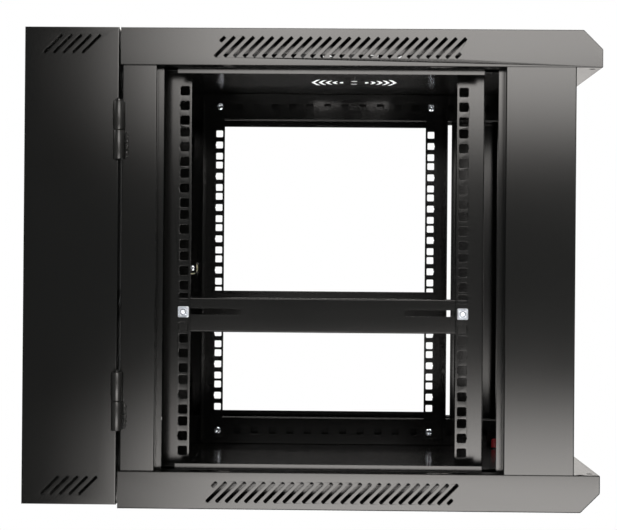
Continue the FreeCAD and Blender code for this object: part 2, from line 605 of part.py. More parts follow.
def makeLock():
    # the barrel through the right rear stile, its nut and plug, the hooked cam and its screw
    outer, inner, seat = "side + lockFlangeTall", "side + lockFlangeTall - lockLong", "side - sheet"
    body = fuse("lock_solid", [
        sideRod("lock_shell", "lockAxis", "0", inner, "side", "lockBarrel / 2", "barrelSides"),
        sideRod("lock_rim", "lockAxis", "0", "side", outer, "lockFlange / 2", "barrelSides")])
    hole = sideRod("lock_hole", "lockAxis", "0", inner + " - past", outer + " + past", "plug / 2 + plugSlack")
    keep(without("lock_bored", body, hole), "lock_barrel")
    ring = sideRod("lock_nut_ring", "lockAxis", "0", seat + " - lockNutTall", seat, "lockNut / 2", "barrelSides")
    eye = sideRod("lock_nut_eye", "lockAxis", "0", seat + " - lockNutTall - past", seat + " + past",
                  "lockBarrel / 2 + threadSlack", "barrelSides")
    keep(without("lock_nut_bored", ring, eye), "lock_nut")
    core = sideRod("plug_core", "lockAxis", "0", inner, outer, "plug / 2")
    slit = box("plug_slit", (outer + " - keywayDeep", "-lockAxis - keyway / 2", "-plug / 3"),
               (outer + " + past", "-lockAxis + keyway / 2", "plug / 3"))
    tap = sideRod("plug_tap", "lockAxis", "0", inner + " - past", inner + " + camScrewIn",
                  "camScrew / 2 + threadSlack", "shankSides")
    keep(without("plug_cut", core, fuse("plug_tools", [slit, tap])), "lock_plug")
    makeCam(inner)
    camFace = inner + " - camSheet"
    keep(fuse("cam_screw_solid", [
        sideRod("cam_screw_head", "lockAxis", "0", camFace + " - camScrewHeadTall", camFace, "camScrewHead / 2",
                "headSides"),
        sideRod("cam_screw_shank", "lockAxis", "0", camFace, inner + " + camScrewIn - screwOut", "camScrew / 2",
                "shankSides")]), "cam_screw")
    place = "(lockAxis - catchReach)"
    keep(fuse("catch_solid", [
        sideRod("catch_pin", place, "-catchDrop", inner + " - 2 * camSheet", seat, "catchPin / 2", "headSides"),
        sideRod("catch_flange", place, "-catchDrop", seat + " - catchFlangeTall", seat, "catchFlange / 2",
                "headSides")]), "lock_catch")


def makeCam(inner):
    # a flat arm up to a hook that is open towards the wall, with a square hole for the plug's end
    cam = newBody("lock_cam")
    low, high = "catchReach - catchPin / 2 - catchRoom", "catchReach + catchPin / 2 + catchRoom"
    hook = [("-camHalf", "-camTop"), ("-camHalf", low), ("catchPin / 2", low), ("catchPin / 2", high),
            ("-camHalf", high), ("-camHalf", "camReach"), ("camTop", "camReach"), ("camTop", "-camTop")]
    pad(cam, "YZ_Plane", inner + " - camSheet", "camSheet", [[("lockAxis + (%s)" % f, z) for f, z in hook]])
    cut(cam, "YZ_Plane", inner + " - camSheet - past", "camSheet + 2 * past",
        [square("lockAxis", "0", "camScrew + 2 * screwSlack")])
    keep(cam, "lock_cam")


def makeEarthStud():
    # a welded stud on the bottom cover under a soft red cap
    def at(z):
        return ("side - studInset", "-(depth - studForward)", z)

    floor = "-plateUnder"
    keep(fuse("stud_solid", [
        rod("stud_shank", "Z", at(floor), "stud / 2", "studTall", "headSides"),
        rod("stud_base", "Z", at(floor), "studFoot / 2", "studFootTall", "headSides")]), "earth_stud")
    outer = rod("cap_outer", "Z", at(floor + " + studFootTall"), "stud / 2 + capSlack + capWall",
                "capTall - studFootTall", "headSides")
    inner = rod("cap_inner", "Z", at(floor), "stud / 2 + capSlack", "studTall + capRoom", "headSides")
    keep(without("cap_cut", outer, inner), "stud_cap")


makeRearSection()
top = makeCover("top_cover", 1, "topVentStart", "topVentDown")
keep(without("top_cover_vented", top, grilleTool()), "top_cover")
keep(makeCover("bottom_cover", -1, "bottomVentStart", "bottomVentUp"), "bottom_cover")
makeStiles()
makeMembers("front", "(doorPlane - sheet)", "(doorPlane - memberFoot)")
makeMembers("rear", "stileRear", "stileRear")
makeBars()
makeRails("front", "frontColumn", 1)
makeRails("rear", "rearColumn", -1)
makeSupports()
makeFasteners()
makeHinge("upper_hinge", "(top - upperSplitIn)")
makeHinge("lower_hinge", "(lowerSplitIn - top)")
makeLock()
makeEarthStud()

doc.recompute()
for thing in doc.Objects:
    if "Invalid" in thing.State or "Error" in thing.State:
        raise RuntimeError("%s (%s) failed" % (thing.Name, thing.Label))
for thing in made:
    if thing.Shape.isNull() or not thing.Shape.isValid():
        raise RuntimeError("%s has no valid shape" % thing.Label)

os.makedirs("parts", exist_ok=True)
for thing in made:
    thing.Shape.exportStep("parts/%s.step" % thing.Label)
    extent = thing.Shape.BoundBox
    print("%-28s solids %2d  volume %10.1f" % (thing.Label, len(thing.Shape.Solids), thing.Shape.Volume),
          "  x %7.1f %7.1f" % (extent.XMin, extent.XMax), "  y %7.1f %7.1f" % (extent.YMin, extent.YMax),
          "  z %7.1f %7.1f" % (extent.ZMin, extent.ZMax))
print(len(made), "sub-parts")
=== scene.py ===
# Looks of the two-section wall rack cabinet: satin black folded sheet, zinc fasteners, one red cap.
# Metres; X across the cabinet, Y towards the wall, Z up. The wall face is y = 0.
import json
import math

import bmesh
import bpy
import numpy as np
from mathutils import Matrix, Vector


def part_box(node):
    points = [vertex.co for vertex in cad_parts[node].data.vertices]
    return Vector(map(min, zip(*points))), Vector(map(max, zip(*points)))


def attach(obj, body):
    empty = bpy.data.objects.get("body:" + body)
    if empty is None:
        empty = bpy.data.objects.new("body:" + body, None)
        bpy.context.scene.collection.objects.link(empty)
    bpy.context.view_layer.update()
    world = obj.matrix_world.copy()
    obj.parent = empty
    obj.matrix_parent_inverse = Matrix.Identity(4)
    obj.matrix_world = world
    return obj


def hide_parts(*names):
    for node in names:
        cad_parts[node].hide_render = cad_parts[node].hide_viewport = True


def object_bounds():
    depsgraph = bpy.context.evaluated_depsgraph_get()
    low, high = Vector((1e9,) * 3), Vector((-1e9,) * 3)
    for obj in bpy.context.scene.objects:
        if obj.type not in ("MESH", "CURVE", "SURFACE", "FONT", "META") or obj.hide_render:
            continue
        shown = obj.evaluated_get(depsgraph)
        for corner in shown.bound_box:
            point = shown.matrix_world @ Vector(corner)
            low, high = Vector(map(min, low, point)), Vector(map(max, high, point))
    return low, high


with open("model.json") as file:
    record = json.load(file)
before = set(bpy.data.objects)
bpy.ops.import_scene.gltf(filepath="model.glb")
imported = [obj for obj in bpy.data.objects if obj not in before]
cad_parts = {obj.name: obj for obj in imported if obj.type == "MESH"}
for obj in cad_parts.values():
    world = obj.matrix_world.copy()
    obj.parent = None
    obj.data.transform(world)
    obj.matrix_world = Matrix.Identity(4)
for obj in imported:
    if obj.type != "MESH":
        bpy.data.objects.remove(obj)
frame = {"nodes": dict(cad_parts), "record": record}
nodes = frame["nodes"]
cadLow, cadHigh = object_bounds()
print("frame loaded:", len(nodes), "nodes")


# Shader groups that several finishes share

def newGroup(name, inputs, outputs):
    # a shader group with its sockets and its two end nodes
    group = bpy.data.node_groups.new(name, "ShaderNodeTree")
    for title, kind, value in inputs:
        socket = group.interface.new_socket(name=title, in_out="INPUT", socket_type=kind)
        if value is not None:
            socket.default_value = value
    for title, kind in outputs:
        group.interface.new_socket(name=title, in_out="OUTPUT", socket_type=kind)
    return group, group.nodes.new("NodeGroupInput"), group.nodes.new("NodeGroupOutput")


def makeNode(tree, kind, **settings):
    # one node with its plain settings; a key that starts with in_ is an input's value
    node = tree.nodes.new(kind)
    for key, value in settings.items():
        if key.startswith("in_"):
            node.inputs[key[3:].replace("_", " ")].default_value = value
        else:
            setattr(node, key, value)
    return node


# sizes of the noises, in waves per metre, and how far the gloss follows the cloud
skinLook = {"cloud": 9.0, "cloudDetail": 3.0, "fineDetail": 2.0, "glossShare": 0.3, "streak": 260.0,
            "streakDetail": 2.0, "streakStretch": (1.0, 1.0, 9.0), "spot": 180.0, "spotDetail": 4.0,
            "platingDepth": 0.0001}


def powderGroup():
    # cured powder: a wide soft noise shifts colour and gloss a little, and a fine one is the orange peel
    group, ins, outs = newGroup(
        "powderSkin",
        [("Colour", "NodeSocketColor", (0.02, 0.02, 0.02, 1)), ("Gloss", "NodeSocketFloat", 0.4),
         ("Cloud", "NodeSocketFloat", 0.1), ("Peel", "NodeSocketFloat", 0.1),
         ("Grain Size", "NodeSocketFloat", 900.0)],
        [("Colour", "NodeSocketColor"), ("Roughness", "NodeSocketFloat"), ("Height", "NodeSocketFloat")])
    link = group.links.new
    place = makeNode(group, "ShaderNodeTexCoord")
    cloud = makeNode(group, "ShaderNodeTexNoise", in_Scale=skinLook["cloud"],
                     in_Detail=skinLook["cloudDetail"])
    fine = makeNode(group, "ShaderNodeTexNoise", in_Detail=skinLook["fineDetail"])
    link(place.outputs["Object"], cloud.inputs["Vector"])
    link(place.outputs["Object"], fine.inputs["Vector"])
    link(ins.outputs["Grain Size"], fine.inputs["Scale"])
    centred = makeNode(group, "ShaderNodeMath", operation="SUBTRACT")
    centred.inputs[1].default_value = 0.5
    link(cloud.outputs["Fac"], centred.inputs[0])
    shift = makeNode(group, "ShaderNodeMath", operation="MULTIPLY")
    link(centred.outputs[0], shift.inputs[0])
    link(ins.outputs["Cloud"], shift.inputs[1])
    level = makeNode(group, "ShaderNodeMath", operation="ADD")
    level.inputs[1].default_value = 1.0
    link(shift.outputs[0], level.inputs[0])
    tint = makeNode(group, "ShaderNodeVectorMath", operation="SCALE")
    link(ins.outputs["Colour"], tint.inputs[0])
    link(level.outputs[0], tint.inputs["Scale"])
    rough = makeNode(group, "ShaderNodeMath", operation="MULTIPLY_ADD")
    link(shift.outputs[0], rough.inputs[0])
    rough.inputs[1].default_value = skinLook["glossShare"]
    link(ins.outputs["Gloss"], rough.inputs[2])
    height = makeNode(group, "ShaderNodeMath", operation="MULTIPLY")
    link(fine.outputs["Fac"], height.inputs[0])
    link(ins.outputs["Peel"], height.inputs[1])
    link(tint.outputs[0], outs.inputs["Colour"])
    link(rough.outputs[0], outs.inputs["Roughness"])
    link(height.outputs[0], outs.inputs["Height"])
    return group


def platingGroup():
    # plated steel: streaks along one axis and small cloudy spots in the passivation
    group, ins, outs = newGroup(
        "platedSkin",
        [("Colour", "NodeSocketColor", (0.7, 0.7, 0.7, 1)), ("Stain", "NodeSocketColor", (0.5, 0.5, 0.4, 1)),
         ("Gloss", "NodeSocketFloat", 0.3), ("Streaks", "NodeSocketFloat", 0.2)],
        [("Colour", "NodeSocketColor"), ("Roughness", "NodeSocketFloat"), ("Height", "NodeSocketFloat")])
    link = group.links.new
    place = makeNode(group, "ShaderNodeTexCoord")
    stretch = makeNode(group, "ShaderNodeMapping", vector_type="POINT")
    stretch.inputs["Scale"].default_value = skinLook["streakStretch"]
    streak = makeNode(group, "ShaderNodeTexNoise", in_Scale=skinLook["streak"],
                      in_Detail=skinLook["streakDetail"])
    spot = makeNode(group, "ShaderNodeTexNoise", in_Scale=skinLook["spot"], in_Detail=skinLook["spotDetail"])
    link(place.outputs["Object"], stretch.inputs["Vector"])
    link(stretch.outputs["Vector"], streak.inputs["Vector"])
    link(place.outputs["Object"], spot.inputs["Vector"])
    stained = makeNode(group, "ShaderNodeMix", data_type="RGBA")
    link(spot.outputs["Fac"], stained.inputs[0])
    link(ins.outputs["Colour"], stained.inputs[6])
    link(ins.outputs["Stain"], stained.inputs[7])
    rough = makeNode(group, "ShaderNodeMath", operation="MULTIPLY_ADD")
    link(streak.outputs["Fac"], rough.inputs[0])
    link(ins.outputs["Streaks"], rough.inputs[1])
    link(ins.outputs["Gloss"], rough.inputs[2])
    link(stained.outputs[2], outs.inputs["Colour"])
    link(rough.outputs[0], outs.inputs["Roughness"])
    link(streak.outputs["Fac"], outs.inputs["Height"])
    return group


powderSkin = powderGroup()
platedSkin = platingGroup()


def startMaterial(name):
    # an empty node material with its output
    material = bpy.data.materials.new(name)
    material.use_nodes = True
    tree = material.node_tree
    tree.nodes.clear()
    out = tree.nodes.new("ShaderNodeOutputMaterial")
    shader = tree.nodes.new("ShaderNodeBsdfPrincipled")
    tree.links.new(shader.outputs[0], out.inputs[0])
    return material, tree, shader


def linkSkin(tree, skin, shader, strength, depth):
    # the skin's colour and gloss go to the shader, and its height through a bump to the normal
    bump = makeNode(tree, "ShaderNodeBump", in_Strength=strength, in_Distance=depth)
    link = tree.links.new
    link(skin.outputs["Colour"], shader.inputs["Base Color"])
    link(skin.outputs["Roughness"], shader.inputs["Roughness"])
    link(skin.outputs["Height"], bump.inputs["Height"])
    link(bump.outputs["Normal"], shader.inputs["Normal"])


def coatMaterial(name, look):
    # sprayed and baked paint: dark colour, satin gloss, a little orange peel
    material, tree, shader = startMaterial(name)
    skin = tree.nodes.new("ShaderNodeGroup")
    skin.node_tree = powderSkin
    skin.inputs["Colour"].default_value = (*look["colour"], 1)
    for title, key in (("Gloss", "roughness"), ("Cloud", "cloud"), ("Peel", "peel"), ("Grain Size", "grain")):
        skin.inputs[title].default_value = look[key]
    linkSkin(tree, skin, shader, look["peelStrength"], look["peelDepth"])
    shader.inputs["Specular IOR Level"].default_value = look["specular"]
    shader.inputs["IOR"].default_value = look["ior"]
    return material


def platedMaterial(name, look):
    # bright metal under a thin plated layer
    material, tree, shader = startMaterial(name)
    skin = tree.nodes.new("ShaderNodeGroup")
    skin.node_tree = platedSkin
    skin.inputs["Colour"].default_value = (*look["colour"], 1)
    skin.inputs["Stain"].default_value = (*look["stain"], 1)
    skin.inputs["Gloss"].default_value = look["roughness"]
    skin.inputs["Streaks"].default_value = look["streaks"]
    linkSkin(tree, skin, shader, look["grain"], skinLook["platingDepth"])
    shader.inputs["Metallic"].default_value = 1.0
    return material


blackLook = {"colour": (0.0026, 0.0027, 0.0025), "roughness": 0.16, "cloud": 0.12, "peel": 1.0,
             "grain": 900.0, "peelStrength": 0.03, "peelDepth": 0.0002, "specular": 0.5, "ior": 1.5}
capLook = {"colour": (0.5, 0.02, 0.03), "roughness": 0.45, "cloud": 0.2, "peel": 1.0, "grain": 500.0,
           "peelStrength": 0.05, "peelDepth": 0.0002, "specular": 0.5, "ior": 1.5}
zincLook = {"colour": (0.6, 0.64, 0.7), "stain": (0.42, 0.44, 0.48), "roughness": 0.08, "streaks": 0.12,
            "grain": 0.1}
dullZincLook = {"colour": (0.74, 0.78, 0.84), "stain": (0.5, 0.52, 0.56), "roughness": 0.3, "streaks": 0.25,
                "grain": 0.15}
# the hinge barrels and beads: the same black paint made rougher, and painted lighter as a painted highlight
# for the broad shine along the barrels
hingeLitCoatLook = {**blackLook, "colour": (0.012, 0.012, 0.0115), "roughness": 0.3, "peelStrength": 0.12}
brassLook = {"colour": (0.72, 0.68, 0.5), "stain": (0.6, 0.55, 0.38), "roughness": 0.25, "streaks": 0.2,
             "grain": 0.1}
chromeLook = {"colour": (0.78, 0.79, 0.8), "stain": (0.7, 0.71, 0.72), "roughness": 0.08, "streaks": 0.08,
              "grain": 0.03}
finishes = {
    "black_coat": coatMaterial("blackPowderCoat", blackLook),
    "red_cap": coatMaterial("redSoftPlastic", capLook),
    "zinc": platedMaterial("brightZinc", zincLook),
    "dullZinc": platedMaterial("dullZinc", dullZincLook),
    "hingeLitCoat": coatMaterial("hingeCoatPaintedLighter", hingeLitCoatLook),
    "brass": platedMaterial("dullBrass", brassLook),
    "chrome": platedMaterial("polishedChrome", chromeLook),
}
slotOf = {part["node"]: part["material_slot"] for part in frame["record"]["subparts"]}
for name, node in nodes.items():
    node.data.materials.clear()
    node.data.materials.append(finishes[slotOf[name]])
print("finishes made:", len(finishes))


# Folded sheet with its real bend radii

foldLook = {"bend": 0.0013, "edge": 0.00022, "railEdge": 0.0005, "camBend": 0.0004, "plugBend": 0.0003,
            "sheet": 0.0012, "thinShare": 1.9, "rounds": 3, "sharpest": 20, "sameWay": 0.9999,
            "skirt": 0.039, "seam": 0.0003, "stileMore": 0.00045, "lip": 0.0203, "lipMore": 0.002}
joinDistance = 1e-6


def flatWidths(work):
    # for each triangle, how wide the flat face is that it is part of: its area over its longest extent
    work.faces.ensure_lookup_table()
    width, seen = {}, set()
    for first in work.faces:
        if first.index in seen:
            continue
        seen.add(first.index)
        patch, rest = [], [first]
        while rest:
            face = rest.pop()
            patch.append(face)
            for rim in face.edges:
                for other in rim.link_faces:
                    if other.index not in seen and other.normal.dot(first.normal) > foldLook["sameWay"]:
                        seen.add(other.index)
                        rest.append(other)
        spots = np.array([corner.co for face in patch for corner in face.verts])
        longest = np.linalg.norm(spots.max(axis=0) - spots.min(axis=0))
        area = sum(face.calc_area() for face in patch)
        for face in patch:
            width[face.index] = area / longest
    return width


def fitEnds(name, mesh):
    # Small fits of single nodes: the corners at one height are moved to another one. The stiles meet the
    # covers with no line of light between them, and the lip of the right bars hides the vents behind them.
    moves = []
    if name.endswith("_stile"):
        moves = [(cadHigh.z - foldLook["skirt"] - foldLook["seam"], foldLook["stileMore"])]
    if name.startswith("right") and name.endswith("_bar"):
        moves = [(cadHigh.z - foldLook["sheet"] - foldLook["lip"], -foldLook["lipMore"])]
    spots = np.empty(len(mesh.vertices) * 3)
    mesh.vertices.foreach_get("co", spots)
    z = spots[2::3]
    for level, shift in moves:
        spots[2::3] = np.where(np.abs(np.abs(z) - level) < 1e-4, np.sign(z) * (level + shift), z)
    mesh.vertices.foreach_set("co", spots)


def foldedCopy(name, bend=None, edge=None, slot=None):
    # The node's triangles are joined at their corners. Each real edge then gets a rounding by what it is:
    # flat faces are gathered from the triangles that lie in one plane, and the width of the two faces beside
    # an edge tells a fold from the raw cut edge of the sheet. An edge as short as the sheet is thick is the
    # corner of a punched hole.
    source = nodes[name]
    mesh = source.data.copy()
    mesh.name = name + "_folded"
    fitEnds(name, mesh)
    work = bmesh.new()
    work.from_mesh(mesh)
    bmesh.ops.remove_doubles(work, verts=work.verts, dist=joinDistance)
    work.normal_update()
    weight = work.edges.layers.float.new("bevel_weight_edge")
    bend = bend or foldLook["bend"]
    edgeShare = (edge or foldLook["edge"]) / bend
    thin = foldLook["sheet"] * foldLook["thinShare"]
    flats = flatWidths(work)
    for rim in work.edges:
        if len(rim.link_faces) != 2 or rim.calc_face_angle(0) < math.radians(foldLook["sharpest"]):
            continue
        widths = [flats[face.index] for face in rim.link_faces]
        if rim.calc_length() < thin:
            rim[weight] = 1.0 if max(widths) < thin else edgeShare
        elif min(widths) < thin or not rim.is_convex:
            rim[weight] = edgeShare
        else:
            rim[weight] = 1.0
    work.to_mesh(mesh)
    work.free()
    piece = bpy.data.objects.new(name + "_sheet", mesh)
    bpy.context.scene.collection.objects.link(piece)
    mesh.materials.clear()
    slot = slot or slotOf[name]
    mesh.materials.append(finishes[slot])
    rounding = piece.modifiers.new("bends", "BEVEL")
    rounding.limit_method = "WEIGHT"
    rounding.width = bend
    rounding.segments = foldLook["rounds"]
    rounding.use_clamp_overlap = True
    rounding.loop_slide = False
    rounding.miter_outer = "MITER_ARC"
    for face in mesh.polygons:
        face.use_smooth = True
    even = piece.modifiers.new("evenFlats", "WEIGHTED_NORMAL")
    even.weight = 100
    even.keep_sharp = False
    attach(piece, bodyOf[name])
    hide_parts(name)


bodyOf = {}
for bodyName, members in frame["record"]["behaviour"]["bodies"].items():
    for member in members:
        bodyOf[member] = bodyName
foldedNodes = ["rear_shell", "rear_top_plate", "rear_bottom_plate", "top_cover", "bottom_cover"]
foldedNodes += [name for name in nodes if name.endswith(("_stile", "_member", "_bar", "_rail", "_support"))]
for name in foldedNodes:
    foldedCopy(name, edge=foldLook["railEdge"] if name.endswith("_rail") else None)
foldedCopy("lock_cam", bend=foldLook["camBend"], slot="black_coat")
foldedCopy("lock_plug", bend=foldLook["plugBend"])
print("folded pieces:", len(foldedNodes) + 2)


# Turned and pressed small pieces

def ringGrid(rows, petals=4, around=40):
    # Rings along an axis. Each row is (offset, size, squareness p). A ring's radius at the angle t is its
    # size over the p-norm of the positive cosines of t less each petal's angle, scaled to be the size itself
    # at t = 0: p = 2 is a circle, and a high p an even-sided outline.
    offset, size, power = np.array(rows, dtype=float).T
    t = np.linspace(0, 2 * math.pi, around, endpoint=False)
    middles = 2 * math.pi * np.arange(petals) / petals
    facing = np.clip(np.cos(t[:, None] - middles), 0, None)
    straight = np.clip(np.cos(middles), 0, None)
    share = (facing[None] ** power[:, None, None]).sum(2) / (straight[None] ** power[:, None]).sum(1)[:, None]
    radius = size[:, None] * share ** (-1 / power[:, None])
    along = np.broadcast_to(offset[:, None], radius.shape)
    return np.stack([along, radius * np.cos(t), radius * np.sin(t)], axis=2)


def gridFaces(count, around, closed, start):
    # quads between each ring and the next one, and from the last to the first where the section is closed
    last = count if closed else count - 1
    ring, turn = np.meshgrid(np.arange(last), np.arange(around), indexing="ij")
    nextRing, nextTurn = (ring + 1) % count, (turn + 1) % around
    corners = [ring * around + turn, ring * around + nextTurn,
               nextRing * around + nextTurn, nextRing * around + turn]
    return np.stack(corners, axis=2).reshape(-1, 4) + start


def onAxis(points, axis, place, sign=1):
    # the grid's own axis laid along X or Z from a place, forwards or backwards
    along, u, v = points[..., 0] * sign, points[..., 1], points[..., 2]
    order = (along, u, v) if axis == "X" else (u, v, along)
    return np.stack(order, axis=-1) + np.array(place)


def makePiece(name, grids, replaced, slot, closed=False, finish=None):
    # one mesh from its grids, doubles merged at the poles and normals turned outwards
    points, faces, start = [], [], 0
    for grid in grids:
        count, around = grid.shape[:2]
        points.append(grid.reshape(-1, 3))
        faces.append(gridFaces(count, around, closed, start))
        start += count * around
    mesh = bpy.data.meshes.new(name)
    mesh.from_pydata(np.concatenate(points).tolist(), [], np.concatenate(faces).tolist())
    work = bmesh.new()
    work.from_mesh(mesh)
    bmesh.ops.remove_doubles(work, verts=work.verts, dist=2 * joinDistance)
    bmesh.ops.recalc_face_normals(work, faces=work.faces)
    for face in work.faces:
        face.smooth = True
    work.to_mesh(mesh)
    work.free()
    mesh.set_sharp_from_angle(angle=math.radians(sharpAngle))
    mesh.materials.append(finishes[finish or slot])
    piece = bpy.data.objects.new(name, mesh)
    bpy.context.scene.collection.objects.link(piece)
    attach(piece, bodyOf[replaced])
    if replaced not in replacedNodes:
        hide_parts(replaced)
        replacedNodes.add(replaced)


replacedNodes = set()
sharpAngle = 38
# where the screws and nuts sit: the two columns of rails, the heights, and the seat of each kind on its sheet
columns = {"rear": -0.1617, "front": -0.4617}
heights = {"railScrew": 0.23, "support": -0.04695}
seats = {"rail": 0.2402, "support": 0.2387, "cam": 0.2741, "cage": 0.249, "hexagon": 0.2505}
screwLook = {"head": 0.005, "headTall": 0.0028, "dome": 0.0007, "rim": 0.0011, "shank": 0.0029,
             "pitch": 0.001, "thread": 0.0003, "perPitch": 6, "arm": 0.0031, "armWide": 0.0006,
             "armDeep": 0.0016, "soft": 0.00035, "headRings": 12, "long": 0.0113, "firstTurn": 0.3,
             "twist": 0.65, "camLong": 0.0114, "camTurn": 0.5, "camScale": 0.9}


def screwGrid(long, turn, scale=1.0):
    # Rings from the middle of the head to the tip. The head is a dome, its cross is a dent where either
    # coordinate is within the arm's width and both are within its length, and the thread is a triangle wave
    # of offset less angle.
    look = screwLook
    rim = np.linspace(0, look["head"] * 0.96, look["headRings"])
    rows = [(look["dome"] * (r / look["head"]) ** 2, r, 2) for r in rim]
    rows += [(look["rim"], look["head"], 2), (look["headTall"] - 0.0002, look["head"], 2),
             (look["headTall"], look["head"] * 0.97, 2), (look["headTall"], look["shank"], 2)]
    first, step = len(rows), look["pitch"] / look["perPitch"]
    stretch = np.arange(look["headTall"] + step, long / scale - 0.0006, step)
    rows += [(a, look["shank"], 2) for a in stretch]
    rows += [(long / scale - 0.0004, look["shank"] * 0.93, 2), (long / scale, look["shank"] * 0.8, 2),
             (long / scale, 0, 2)]
    grid = ringGrid(rows)
    t = np.linspace(0, 1, grid.shape[1], endpoint=False)
    phase = (grid[first:-3, :, 0] / look["pitch"] - t) % 1
    notch = 1 - look["thread"] / look["shank"] * (1 - np.abs(2 * phase - 1))
    grid[first:-3, :, 1:] *= notch[..., None]
    u = grid[..., 1] * math.cos(turn) - grid[..., 2] * math.sin(turn)
    v = grid[..., 1] * math.sin(turn) + grid[..., 2] * math.cos(turn)
    near, far = np.minimum(np.abs(u), np.abs(v)), np.maximum(np.abs(u), np.abs(v))
    dent = np.clip((look["armWide"] - near) / look["soft"] + 0.5, 0, 1)
    dent = dent * np.clip((look["arm"] - far) / look["arm"], 0, 1)
    grid[:look["headRings"], :, 0] += look["armDeep"] * dent[:look["headRings"]] ** 0.6
    return grid * scale


def makeScrews():
    # the heads are on the inner side of the rails, the tips outside
    look = screwLook
    railSet, supportSet, turn = [], [], look["firstTurn"]
    for side in (-1, 1):
        for y in columns.values():
            for z in (-heights["railScrew"], heights["railScrew"]):
                railSet.append(onAxis(screwGrid(look["long"], turn), "X", (side * seats["rail"], y, z), side))
                turn += look["twist"]
            place = (side * seats["support"], y, heights["support"])
            supportSet.append(onAxis(screwGrid(look["long"], turn), "X", place, side))
            turn += look["twist"]
    makePiece("crossScrews", railSet, "rail_screws", "zinc")
    makePiece("supportCrossScrews", supportSet, "support_screws", "zinc", finish="dullZinc")
    camGrid = screwGrid(look["camLong"], look["camTurn"], look["camScale"])
    makePiece("camCrossScrew", [onAxis(camGrid, "X", (seats["cam"], lockPlace["y"], 0))], "cam_screw", "zinc")


# rows of the pressed nuts, from the bore round the outer face and back: offset inwards, half width,
# squareness
cageRows = [(0.0059, 0.0031, 2), (0.0005, 0.0031, 2), (0, 0.0036, 2), (0, 0.0038, 8), (0.0003, 0.0041, 9),
            (0.0022, 0.0042, 9), (0.0022, 0.0048, 9), (0.0002, 0.0049, 9), (0, 0.0052, 9),
            (0.0003, 0.0059, 9), (0.0037, 0.006, 9), (0.004, 0.0059, 9), (0.004, 0.0046, 12),
            (0.0059, 0.0045, 12)]
hexRows = [(0.004, 0.0031, 2), (0.0004, 0.0031, 2), (0, 0.0035, 2), (0, 0.0048, 2), (0.0005, 0.005, 34),
           (0.0035, 0.005, 34), (0.004, 0.0048, 2)]


def makeNuts():
    # square nuts in spring cages on the outside of the rails, hexagon nuts on the bars
    cages, hexes = [], []
    for side in (-1, 1):
        for y in columns.values():
            place = (side * seats["cage"], y, heights["support"])
            cages.append(onAxis(ringGrid(cageRows, 4, 64), "X", place, -side))
            for z in (-heights["railScrew"], heights["railScrew"]):
                hexes.append(onAxis(ringGrid(hexRows, 6, 48), "X", (side * seats["hexagon"], y, z), -side))
    makePiece("cagedSquareNuts", cages, "cage_nuts", "zinc", closed=True, finish="dullZinc")
    makePiece("hexagonNuts", hexes, "rail_nuts", "zinc", closed=True)


hingeLook = {"x": -0.3055, "y": -0.09925, "radius": 0.0055, "bore": 0.00306, "soft": 0.0006, "pin": 0.003,
             "pinHead": 0.0036, "beadRings": 60, "face": -0.3002}
beads = {"rear_knuckle": {"y": -0.0935, "half": 0.0014, "lumps": 7.0, "rough": 0.18},
         "main_knuckle": {"y": -0.1071, "half": 0.0027, "lumps": 7.0, "rough": 0.5}}


def beadGrid(bead, low, high):
    # a lumpy weld: its radius is a flat-topped arch over its length, times one less two waves of different
    # lengths, and its line sways by a sine
    s = np.linspace(0, 1, hingeLook["beadRings"])
    arch = np.sqrt(np.clip(1 - np.abs(2 * s - 1) ** 6, 0, 1))
    long, short = np.abs(np.sin(math.pi * bead["lumps"] * s)) ** 0.5, np.sin(37.0 * s + 1.0) ** 2
    lumps = 1 - bead["rough"] * (0.7 * long + 0.3 * short)
    rows = np.stack([low + (high - low) * s, bead["half"] * arch * lumps, np.full_like(s, 2.0)], axis=1)
    grid = ringGrid(rows, 4, 20)
    sway = 0.15 * bead["half"] * np.sin(2 * math.pi * (bead["lumps"] * 0.8) * s + 0.7)
    grid[..., 2] += sway[:, None]
    return onAxis(grid, "Z", (hingeLook["face"], bead["y"], 0))


def makeHinges():
    # barrels with softened rims, each with its bead, and headed pins through both
    look = hingeLook
    for end in ("upper", "lower"):
        for part, bead in beads.items():
            node = "%s_hinge_%s" % (end, part)
            low, high = (corner.z for corner in map(Vector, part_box(node)))
            r, soft = look["radius"], look["soft"]
            rows = [(low, look["bore"], 2), (low, r - soft, 2), (low + soft * 0.3, r - soft * 0.3, 2),
                    (low + soft, r, 2), (high - soft, r, 2), (high - soft * 0.3, r - soft * 0.3, 2),
                    (high, r - soft, 2), (high, look["bore"], 2)]
            barrel = onAxis(ringGrid(rows, 4, 48), "Z", (look["x"], look["y"], 0))
            # barrel and bead in the hinge coat, whose lighter colour is a painted highlight
            makePiece(node + "_barrel", [barrel], node, "black_coat", closed=True, finish="hingeLitCoat")
            makePiece(node + "_bead", [beadGrid(bead, low + 0.001, high - 0.0012)], node, "black_coat",
                      finish="hingeLitCoat")
        node = end + "_hinge_pin"
        low, high = (corner.z for corner in map(Vector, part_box(node)))
        neck = high - 0.0027
        dome = [(high - 0.0012 + 0.0012 * math.sin(a), look["pinHead"] * math.cos(a), 2)
                for a in np.linspace(0, 1.5, 7)]
        rows = [(low, 0, 2), (low, look["pin"] * 0.8, 2), (low + 0.0006, look["pin"], 2),
                (neck, look["pin"], 2), (neck, look["pinHead"], 2)] + dome + [(high, 0, 2)]
        turned = onAxis(ringGrid(rows, 4, 36), "Z", (look["x"], look["y"], 0))
        makePiece(node + "_turned", [turned], node, "black_coat")


lockPlace = {"y": -0.12, "outer": 0.3025, "face": 0.3, "inner": 0.2785, "seat": 0.2988}


